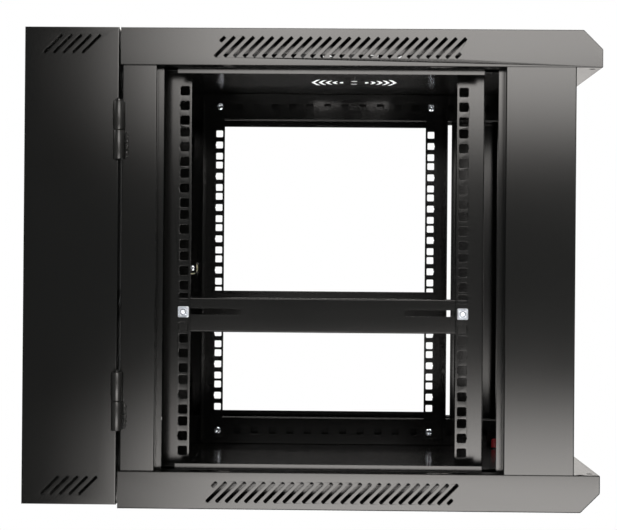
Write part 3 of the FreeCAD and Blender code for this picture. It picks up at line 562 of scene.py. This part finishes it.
def makeLock():
    # a flanged barrel with grooves, its ringed inner end, a hexagon nut and the catch pin: each row is the
    # place along X, the radius and the squareness
    at = (0, lockPlace["y"], 0)
    inner, face, outer = lockPlace["inner"], lockPlace["face"], lockPlace["outer"]
    rows = [(inner, 0.0061, 2), (inner, 0.009, 2), (inner + 0.0003, 0.0093, 2), (face, 0.0093, 2),
            (face, 0.0113, 2), (face + 0.0006, 0.0115, 2), (outer - 0.0008, 0.0113, 2),
            (outer - 0.0001, 0.0103, 2), (outer, 0.0092, 2), (outer - 0.0005, 0.0086, 2),
            (outer - 0.0005, 0.0075, 2), (outer, 0.0069, 2), (outer, 0.0061, 2)]
    makePiece("lockCup", [onAxis(ringGrid(rows, 4, 64), "X", at)], "lock_barrel", "chrome", closed=True)
    rings = [(inner, 0.0062, 2), (inner - 0.0003, 0.0064, 2), (inner - 0.0003, 0.0072, 2),
             (inner, 0.0074, 2), (inner - 0.0005, 0.0077, 2), (inner - 0.0005, 0.0088, 2),
             (inner, 0.0092, 2), (inner + 0.0005, 0.0094, 2), (inner + 0.0005, 0.0062, 2)]
    makePiece("lockEndRings", [onAxis(ringGrid(rings, 4, 64), "X", at)], "lock_barrel", "brass", closed=True)
    seat = lockPlace["seat"]
    nut = [(seat, 0.00935, 2), (seat - 0.004, 0.00935, 2), (seat - 0.004, 0.0106, 2),
           (seat - 0.0034, 0.011, 30), (seat - 0.0006, 0.011, 30), (seat, 0.0106, 2)]
    nutGrid = onAxis(ringGrid(nut, 6, 60), "X", at)
    makePiece("lockHexagonNut", [nutGrid], "lock_nut", "black_coat", closed=True)
    low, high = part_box("lock_catch")
    middle = (0, (low[1] + high[1]) / 2, (low[2] + high[2]) / 2)
    pin = [(low[0], 0, 2), (low[0], 0.0016, 2), (low[0] + 0.0004, 0.002, 2), (high[0] - 0.0015, 0.002, 2),
           (high[0] - 0.0015, 0.0047, 2), (high[0] - 0.0012, 0.005, 2), (high[0], 0.005, 2), (high[0], 0, 2)]
    makePiece("catchPin", [onAxis(ringGrid(pin, 4, 32), "X", middle)], "lock_catch", "black_coat")


capPlace = {"x": 0.218, "y": -0.5515, "floor": -0.2488}


def makeEarthStud():
    # a painted foot and stud under a dipped soft cap with a rounded end and a rolled mouth
    at, floor = (capPlace["x"], capPlace["y"], 0), capPlace["floor"]
    stud = [(floor, 0, 2), (floor, 0.0064, 2), (floor + 0.0012, 0.0063, 2), (floor + 0.0015, 0.006, 2),
            (floor + 0.0015, 0.003, 2), (floor + 0.0105, 0.0029, 2), (floor + 0.011, 0.0024, 2),
            (floor + 0.011, 0, 2)]
    makePiece("weldedStud", [onAxis(ringGrid(stud, 4, 32), "Z", at)], "earth_stud", "black_coat")
    mouth, top = floor + 0.0016, floor + 0.0135
    inner = [(mouth, 0.0031, 2), (mouth, 0.0042, 2), (mouth + 0.0005, 0.0045, 2), (mouth + 0.0011, 0.0043, 2),
             (mouth + 0.0016, 0.0041, 2)]
    dome = [(top - 0.003 + 0.003 * math.sin(a), 0.0039 * math.cos(a) ** 0.8, 2)
            for a in np.linspace(0, 1.5, 8)]
    cap = [(top - 0.0015, 0, 2), (top - 0.0015, 0.0031, 2)] + inner + dome + [(top, 0, 2)]
    makePiece("dippedCap", [onAxis(ringGrid(cap, 4, 36), "Z", at)], "stud_cap", "red_cap")


# webs in the cut lines of the knock-outs: the thin skin that holds them until they are pushed out
webLook = {"front": 0.1445, "rear": 0.108, "tab": 0.037, "half": 0.131, "cut": 0.003, "side": 0.14025,
           "thick": 0.0003, "depth": 0.0006}


def makeWebs():
    # thin flat strips halfway down the sheet, as flat boxes from low to high corner
    look = webLook
    for end, sign in (("top", 1), ("bottom", -1)):
        z = sign * (cadHigh.z - look["depth"])
        strips = []
        for hand in (-1, 1):
            spans = [(look["tab"], look["half"], f, f + look["cut"]) for f in (look["front"], look["rear"])]
            spans.append((look["side"], look["side"] + look["cut"], look["rear"] + 2 * look["cut"],
                          look["front"] - look["cut"]))
            for x0, x1, f0, f1 in spans:
                loop = np.array([[hand * x0, -f0], [hand * x1, -f0], [hand * x1, -f1], [hand * x0, -f1]])
                middle = loop.mean(axis=0)
                rings = [(middle + (loop - middle) * k, z + up * look["thick"] / 2)
                         for k, up in ((0, -1), (1.01, -1), (1.01, 1), (0, 1))]
                strips.append(np.stack([np.column_stack([flat, np.full(4, level)]) for flat, level in rings]))
        makePiece("%sKnockOutWebs" % end, strips, end + "_cover", "black_coat")


replacedNodes.update(("top_cover", "bottom_cover"))
makeScrews()
makeNuts()
makeHinges()
makeLock()
makeEarthStud()
makeWebs()
print("small pieces made")


# Studio: a white floor, long light panels above and below the object's height at the left and right, above it
# at the front and back, a backdrop at the right and one overhead

studio = {"floorDrop": 0.002, "floorReach": 30.0, "nearRoom": 0.17, "farRoom": 0.06,
          "nearEnd": -0.6, "farEnd": 0.2, "warm": (1.0, 0.965, 0.93, 1), "cool": (0.97, 1.0, 0.99, 1)}
# each panel: its middle, its two half extents as vectors, its level, and over what share of each extent the
# level grows from nothing at the first end to full
panels = {
    "leftHigh": {"middle": (-1.85, -0.5, 0.575), "along": (0, -0.8, 0), "up": (0, 0, 0.375), "level": 8.2,
                 "grow": (0.31, 0.33)},
    "leftLow": {"middle": (-1.85, -0.5, -0.575), "along": (0, -0.8, 0), "up": (0, 0, -0.375), "level": 8.2,
                "grow": (0.31, 0.33)},
    "rightHigh": {"middle": (1.85, -0.3, 0.72), "along": (0, -0.9, 0), "up": (0, 0, 0.4), "level": 3.0,
                  "grow": (0.4, 0.3)},
    "rightLow": {"middle": (1.85, -0.3, -0.72), "along": (0, -0.9, 0), "up": (0, 0, -0.4), "level": 3.0,
                 "grow": (0.4, 0.3)},
    "frontHigh": {"middle": (0, -2.2, 0.9), "along": (0.9, 0, 0), "up": (0, 0, 0.4), "level": 2.0,
                  "grow": (0.3, 0.3)},
    "backHigh": {"middle": (0, 1.6, 0.9), "along": (0.9, 0, 0), "up": (0, 0, 0.4), "level": 3.0,
                 "grow": (0.3, 0.3)},
    "backdrop": {"middle": (3.0, -1.35, 0), "along": (0, -0.6, 0), "up": (0, 0, 0.6), "level": 1.0,
                 "grow": (0.1, 0.1)},
    "overhead": {"middle": (0.3, -0.3, 2.2), "along": (0.9, 0, 0), "up": (0, 0.9, 0), "level": 1.0,
                 "grow": (0.3, 0.3)},
}


def stageSheet(name, middle, along, up, material):
    # a flat sheet: middle + s * along + t * up for s and t from -1 to 1, on a grid of two by two
    s, t = np.meshgrid([-1.0, 1.0], [-1.0, 1.0])
    corners = np.array(middle) + s.reshape(-1, 1) * np.array(along) + t.reshape(-1, 1) * np.array(up)
    mesh = bpy.data.meshes.new(name)
    mesh.from_pydata(corners.tolist(), [], [(0, 1, 3, 2)])
    mesh.materials.append(material)
    holder = bpy.data.objects.new(name, mesh)
    bpy.context.scene.collection.objects.link(holder)
    return holder


def floorMaterial():
    # evenly lit glass: white to the eye, clear to the light of the panels under it
    material = bpy.data.materials.new("paleFloor")
    material.use_nodes = True
    tree = material.node_tree
    tree.nodes.clear()
    path = tree.nodes.new("ShaderNodeLightPath")
    white = makeNode(tree, "ShaderNodeEmission", in_Color=(1, 1, 1, 1), in_Strength=1.0)
    clear = tree.nodes.new("ShaderNodeBsdfTransparent")
    mix = tree.nodes.new("ShaderNodeMixShader")
    out = tree.nodes.new("ShaderNodeOutputMaterial")
    tree.links.new(path.outputs["Is Camera Ray"], mix.inputs[0])
    tree.links.new(clear.outputs[0], mix.inputs[1])
    tree.links.new(white.outputs[0], mix.inputs[2])
    tree.links.new(mix.outputs[0], out.inputs[0])
    return material


def panelMaterial(name, panel):
    # the level is the product of two soft steps, one along each extent
    material = bpy.data.materials.new(name)
    material.use_nodes = True
    tree = material.node_tree
    tree.nodes.clear()
    place = tree.nodes.new("ShaderNodeTexCoord")
    glow = makeNode(tree, "ShaderNodeEmission", in_Color=studio["warm"])
    out = tree.nodes.new("ShaderNodeOutputMaterial")
    steps = []
    for extent, grow, top in (("along", panel["grow"][0], panel["level"]), ("up", panel["grow"][1], 1.0)):
        way = Vector(panel[extent])
        share = makeNode(tree, "ShaderNodeVectorMath", operation="DOT_PRODUCT")
        share.inputs[1].default_value = way / way.length_squared
        first = Vector(panel["middle"]).dot(way) / way.length_squared - 1.0
        step = makeNode(tree, "ShaderNodeMapRange", interpolation_type="SMOOTHSTEP")
        for title, value in (("From Min", first), ("From Max", first + 2 * grow), ("To Min", 0.0),
                             ("To Max", top)):
            step.inputs[title].default_value = value
        tree.links.new(place.outputs["Object"], share.inputs[0])
        tree.links.new(share.outputs["Value"], step.inputs["Value"])
        steps.append(step)
    both = makeNode(tree, "ShaderNodeMath", operation="MULTIPLY")
    for socket, step in zip(both.inputs, steps):
        tree.links.new(step.outputs[0], socket)
    tree.links.new(both.outputs[0], glow.inputs["Strength"])
    tree.links.new(glow.outputs[0], out.inputs[0])
    return material


def makePanels():
    # the camera looks past them
    for name, panel in panels.items():
        sheet = stageSheet(name, panel["middle"], panel["along"], panel["up"], panelMaterial(name, panel))
        sheet.visible_camera = False


def makeFloor():
    # a wide flat sheet just under the cabinet
    reach = studio["floorReach"]
    stageSheet("floor", (0, 0, cadLow.z - studio["floorDrop"]), (reach, 0, 0), (0, reach, 0), floorMaterial())


# the camera stands where the photograph's perspective puts it: angles in degrees, lens from the focal length
# in pixels
photo = {"wide": 617, "focalPixels": 1418.7, "sensor": 36.0, "near": 0.05, "far": 100,
         "eye": (-1.7706, -0.3167, 0.0007), "yaw": 0.776, "pitch": 0.143, "roll": -0.468}


def makeCamera():
    # the camera's axes before the turns: right is -Y, up is +Z, and it looks along +X
    yaw, pitch, roll = (math.radians(photo[key]) for key in ("yaw", "pitch", "roll"))
    turnYaw = np.array([[math.cos(yaw), 0, math.sin(yaw)], [0, 1, 0], [-math.sin(yaw), 0, math.cos(yaw)]])
    turnPitch = np.array([[1, 0, 0], [0, math.cos(pitch), -math.sin(pitch)],
                          [0, math.sin(pitch), math.cos(pitch)]])
    turnRoll = np.array([[math.cos(roll), -math.sin(roll), 0], [math.sin(roll), math.cos(roll), 0],
                         [0, 0, 1]])
    rows = turnRoll @ turnPitch @ turnYaw @ np.array([[0, -1, 0], [0, 0, 1], [1, 0, 0]])
    right, up, ahead = rows
    camera = bpy.data.cameras.new("camera")
    camera.sensor_width = photo["sensor"]
    camera.lens = photo["focalPixels"] / photo["wide"] * photo["sensor"]
    camera.clip_start, camera.clip_end = photo["near"], photo["far"]
    holder = bpy.data.objects.new("camera", camera)
    bpy.context.scene.collection.objects.link(holder)
    holder.matrix_world = Matrix([[right[0], up[0], -ahead[0], photo["eye"][0]],
                                  [right[1], up[1], -ahead[1], photo["eye"][1]],
                                  [right[2], up[2], -ahead[2], photo["eye"][2]], [0, 0, 0, 1]])
    bpy.context.scene.camera = holder


def makeWorld():
    # the eye sees a white room, and the object a dim one that is darker behind it
    world = bpy.data.worlds.new("studio")
    world.use_nodes = True
    tree = world.node_tree
    dim = tree.nodes["Background"]
    dim.inputs[0].default_value = studio["cool"]
    way = tree.nodes.new("ShaderNodeTexCoord")
    parts = tree.nodes.new("ShaderNodeSeparateXYZ")
    level = makeNode(tree, "ShaderNodeMapRange", interpolation_type="SMOOTHSTEP")
    for title, key in (("From Min", "nearEnd"), ("From Max", "farEnd"), ("To Min", "nearRoom"),
                       ("To Max", "farRoom")):
        level.inputs[title].default_value = studio[key]
    tree.links.new(way.outputs["Generated"], parts.inputs[0])
    tree.links.new(parts.outputs["X"], level.inputs["Value"])
    tree.links.new(level.outputs[0], dim.inputs[1])
    white = makeNode(tree, "ShaderNodeBackground", in_Color=(1, 1, 1, 1), in_Strength=1.0)
    path = tree.nodes.new("ShaderNodeLightPath")
    mix = tree.nodes.new("ShaderNodeMixShader")
    tree.links.new(path.outputs["Is Camera Ray"], mix.inputs[0])
    tree.links.new(dim.outputs[0], mix.inputs[1])
    tree.links.new(white.outputs[0], mix.inputs[2])
    tree.links.new(mix.outputs[0], tree.nodes["World Output"].inputs[0])
    bpy.context.scene.world = world


makeFloor()
makePanels()
makeWorld()
makeCamera()
bpy.context.scene.view_settings.view_transform = "Standard"
print("studio ready")
